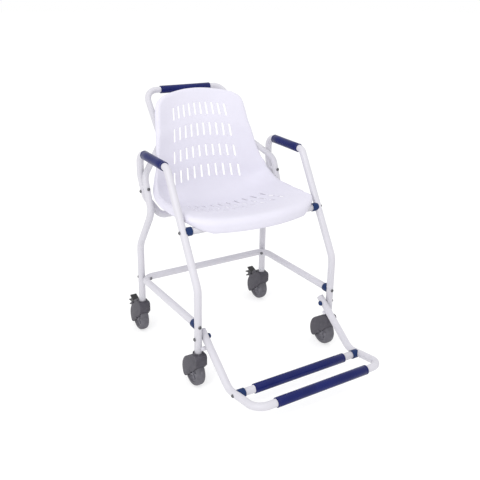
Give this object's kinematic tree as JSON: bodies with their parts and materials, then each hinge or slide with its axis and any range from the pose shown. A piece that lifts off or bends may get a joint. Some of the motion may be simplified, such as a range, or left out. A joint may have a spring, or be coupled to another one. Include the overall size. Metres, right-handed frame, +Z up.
{
  "type": "wheeled shower and commode chair",
  "caption": "Tubular chair on swivel castors with slotted bucket seat, armrest sleeves, push handle and flip-up footrest.",
  "frame": {"origin": "on the floor, in the middle of the outline's width and depth", "axes": "+Z up, the front of the chair faces -Y, +X is the sitter's left-hand side"},
  "size_m": [0.584, 0.9308, 0.9018],
  "materials": {
    "white_powder_coat": "satin white powder coat with a faint lavender tint",
    "shell_plastic": "satin moulded polypropylene, fine grain",
    "blue_sleeve": "navy blue soft PVC sleeve, satin",
    "blue_moulding": "dark blue moulded nylon",
    "white_moulding": "white moulded nylon",
    "castor_housing": "dark grey moulded nylon, fine spark texture",
    "castor_tyre": "dark grey soft tread",
    "brake_pedal": "black moulded nylon",
    "dark_zinc": "dark zinc plated",
    "stem_steel": "bright zinc plated"
  },
  "bodies": {
    "frame": {"arm_frame": "white_powder_coat", "arm_grip_left": "blue_sleeve", "arm_grip_right": "blue_sleeve", "back_frame": "white_powder_coat", "castor_stem_front_left": "stem_steel", "castor_stem_front_right": "stem_steel", "castor_stem_rear_left": "stem_steel", "castor_stem_rear_right": "stem_steel", "corner_bolt_left": "dark_zinc", "corner_bolt_right": "dark_zinc", "drop_bolt_left": "dark_zinc", "drop_bolt_right": "dark_zinc", "footrest_stop_left": "white_moulding", "footrest_stop_right": "white_moulding", "handle_sleeve": "blue_sleeve", "joint_bolt_left": "dark_zinc", "joint_bolt_right": "dark_zinc", "joint_spacer_left": "white_moulding", "joint_spacer_right": "white_moulding", "lower_bolt_left": "dark_zinc", "lower_bolt_right": "dark_zinc", "lower_frame": "white_powder_coat", "lower_saddle_left": "blue_moulding", "lower_saddle_right": "blue_moulding", "pivot_bolt_left": "dark_zinc", "pivot_bolt_right": "dark_zinc", "pivot_cap_left": "blue_moulding", "pivot_cap_right": "blue_moulding", "seat_bolt_left": "dark_zinc", "seat_bolt_right": "dark_zinc", "seat_clip_front_left": "white_moulding", "seat_clip_front_right": "white_moulding", "seat_clip_rear_left": "white_moulding", "seat_clip_rear_right": "white_moulding", "seat_front_tube": "white_powder_coat", "seat_saddle_left": "blue_moulding", "seat_saddle_right": "blue_moulding", "seat_shell": "shell_plastic"},
    "footrest": {"footrest_bar": "white_powder_coat", "footrest_bolt_left": "dark_zinc", "footrest_bolt_right": "dark_zinc", "footrest_cap_left": "white_moulding", "footrest_cap_right": "white_moulding", "footrest_frame": "white_powder_coat", "footrest_saddle_left": "blue_moulding", "footrest_saddle_right": "blue_moulding", "footrest_sleeve_front": "blue_sleeve", "footrest_sleeve_rear": "blue_sleeve"},
    "hood_front_left": {"castor_hood_front_left": "castor_housing"},
    "wheel_front_left": {"castor_wheel_front_left": "castor_tyre"},
    "hood_front_right": {"castor_hood_front_right": "castor_housing"},
    "wheel_front_right": {"castor_wheel_front_right": "castor_tyre"},
    "hood_rear_left": {"castor_hood_rear_left": "castor_housing"},
    "wheel_rear_left": {"castor_wheel_rear_left": "castor_tyre"},
    "hood_rear_right": {"castor_hood_rear_right": "castor_housing"},
    "wheel_rear_right": {"castor_wheel_rear_right": "castor_tyre"},
    "pedal_left": {"brake_pedal_left": "brake_pedal"},
    "pedal_right": {"brake_pedal_right": "brake_pedal"}
  },
  "joints": [
    {"name": "footrest_hinge", "type": "hinge", "parent": "frame", "child": "footrest", "pos_m": [0, -0.14, 0.179], "axis": [-1, 0, 0], "range_deg": [0, 95]},
    {"name": "castor_swivel_front_left", "type": "hinge", "parent": "frame", "child": "hood_front_left", "pos_m": [0.271, -0.14, 0.12], "axis": [0, 0, 1], "continuous": true},
    {"name": "wheel_roll_front_left", "type": "hinge", "parent": "hood_front_left", "child": "wheel_front_left", "pos_m": [0.271, -0.118, 0.05], "axis": [1, 0, 0], "continuous": true},
    {"name": "castor_swivel_front_right", "type": "hinge", "parent": "frame", "child": "hood_front_right", "pos_m": [-0.271, -0.14, 0.12], "axis": [0, 0, 1], "continuous": true},
    {"name": "wheel_roll_front_right", "type": "hinge", "parent": "hood_front_right", "child": "wheel_front_right", "pos_m": [-0.271, -0.118, 0.05], "axis": [1, 0, 0], "continuous": true},
    {"name": "castor_swivel_rear_left", "type": "hinge", "parent": "frame", "child": "hood_rear_left", "pos_m": [0.271, 0.2995, 0.12], "axis": [0, 0, 1], "continuous": true},
    {"name": "wheel_roll_rear_left", "type": "hinge", "parent": "hood_rear_left", "child": "wheel_rear_left", "pos_m": [0.271, 0.3215, 0.05], "axis": [1, 0, 0], "continuous": true},
    {"name": "castor_swivel_rear_right", "type": "hinge", "parent": "frame", "child": "hood_rear_right", "pos_m": [-0.271, 0.2995, 0.12], "axis": [0, 0, 1], "continuous": true},
    {"name": "wheel_roll_rear_right", "type": "hinge", "parent": "hood_rear_right", "child": "wheel_rear_right", "pos_m": [-0.271, 0.3215, 0.05], "axis": [1, 0, 0], "continuous": true},
    {"name": "brake_press_left", "type": "hinge", "parent": "hood_rear_left", "child": "pedal_left", "pos_m": [0.271, 0.3595, 0.0975], "axis": [-1, 0, 0], "range_deg": [0, 12]},
    {"name": "brake_press_right", "type": "hinge", "parent": "hood_rear_right", "child": "pedal_right", "pos_m": [-0.271, 0.3595, 0.0975], "axis": [-1, 0, 0], "range_deg": [0, 12]}
  ]
}
